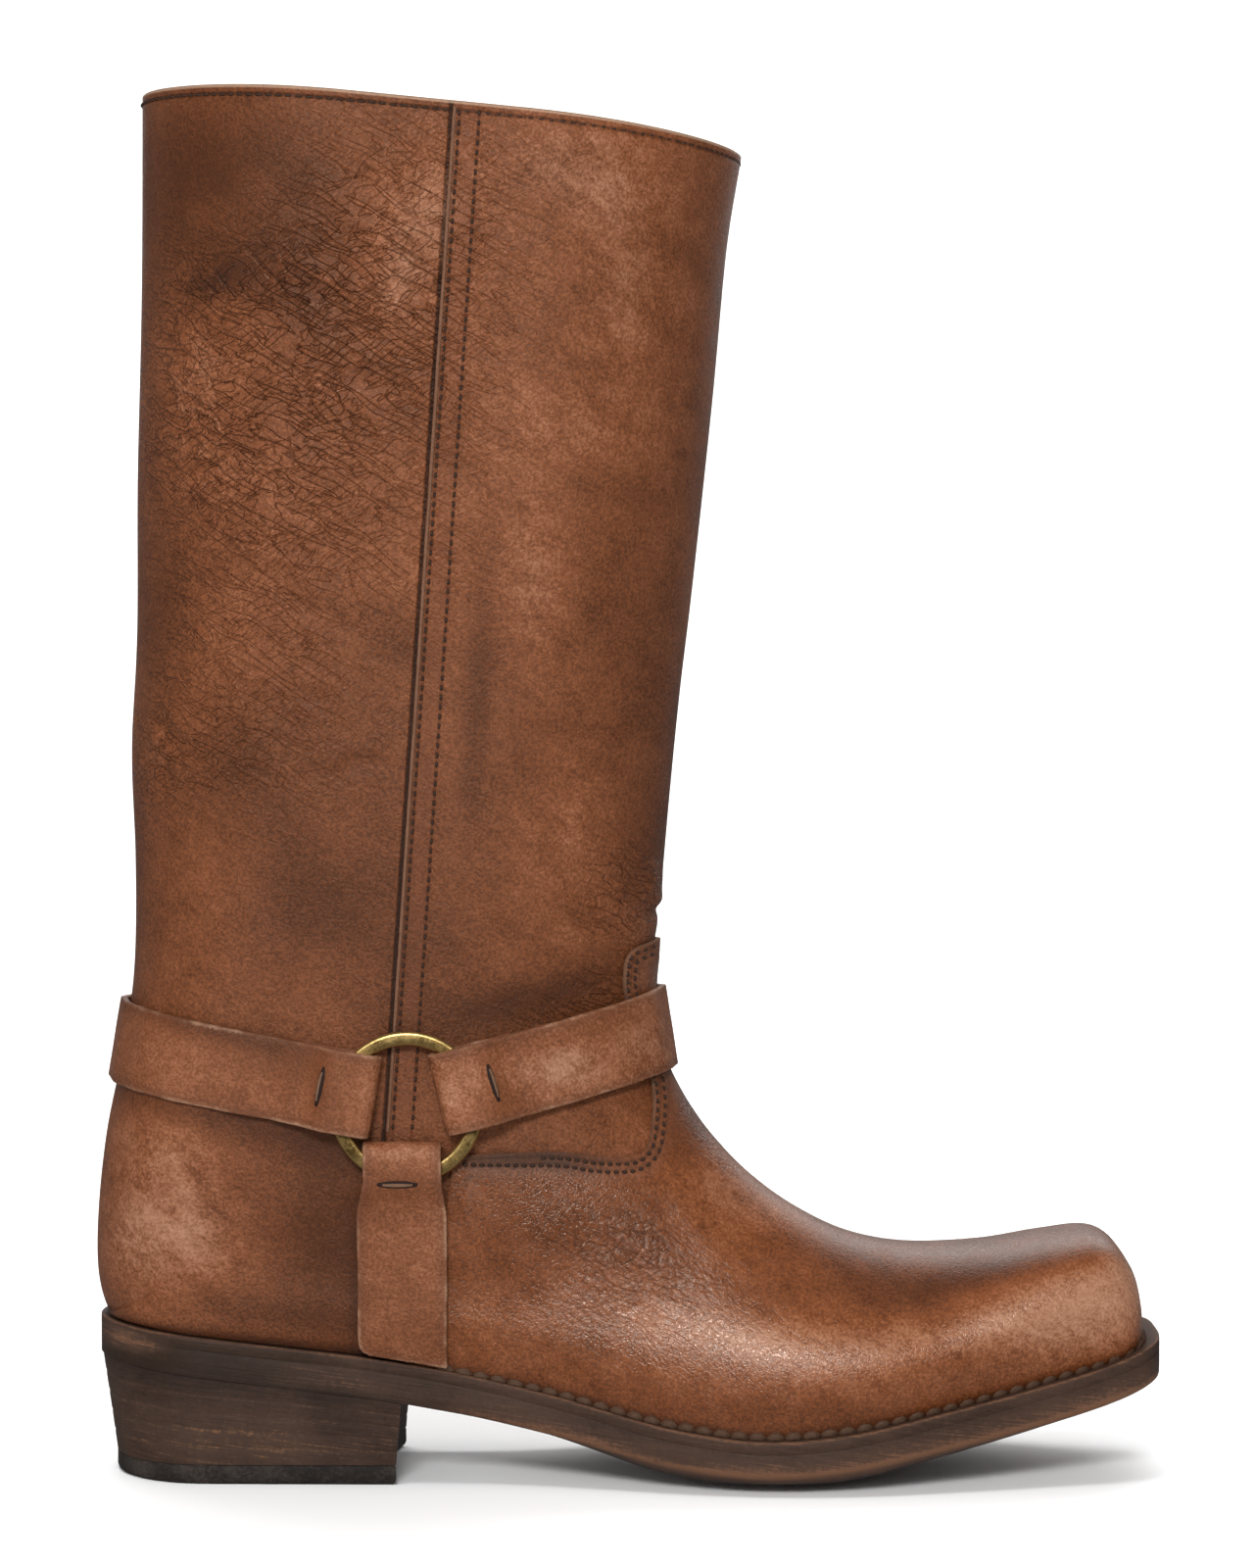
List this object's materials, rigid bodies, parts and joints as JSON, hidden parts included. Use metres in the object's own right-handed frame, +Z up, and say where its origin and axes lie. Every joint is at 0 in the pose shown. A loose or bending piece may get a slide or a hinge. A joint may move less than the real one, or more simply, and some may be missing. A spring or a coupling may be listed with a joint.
{
  "type": "harness boot",
  "caption": "Mid-calf pull-on leather boot for a right foot, with a squared toe, a stacked heel and straps joined by a ring on each side.",
  "frame": {"origin": "on the floor, under the middle of the boot's length and width", "axes": "+X towards the toe, +Y towards the inner side of the right foot, +Z up the shaft"},
  "size_m": [0.2732, 0.0996, 0.3518],
  "materials": {
    "upper_leather": "mottled brown, waxed, creased",
    "strap_leather": "brown, raw cut edges",
    "sole_leather": "dark brown, worn edge",
    "heel_leather": "dark brown stacked layers",
    "lift_rubber": "matt black",
    "insole_leather": "natural, matt",
    "ring_brass": "antique brass"
  },
  "bodies": {
    "root": {"upper": "upper_leather", "vamp": "upper_leather", "outsole": "sole_leather", "welt": "sole_leather", "insole": "insole_leather", "heel_stack": "heel_leather", "heel_top_lift": "lift_rubber", "ring_lateral": "ring_brass", "ring_medial": "ring_brass", "strap_back": "strap_leather", "strap_front": "strap_leather", "strap_under_lateral": "strap_leather", "strap_under_medial": "strap_leather", "side_seam_lateral": "upper_leather", "side_seam_medial": "upper_leather"}
  },
  "joints": []
}
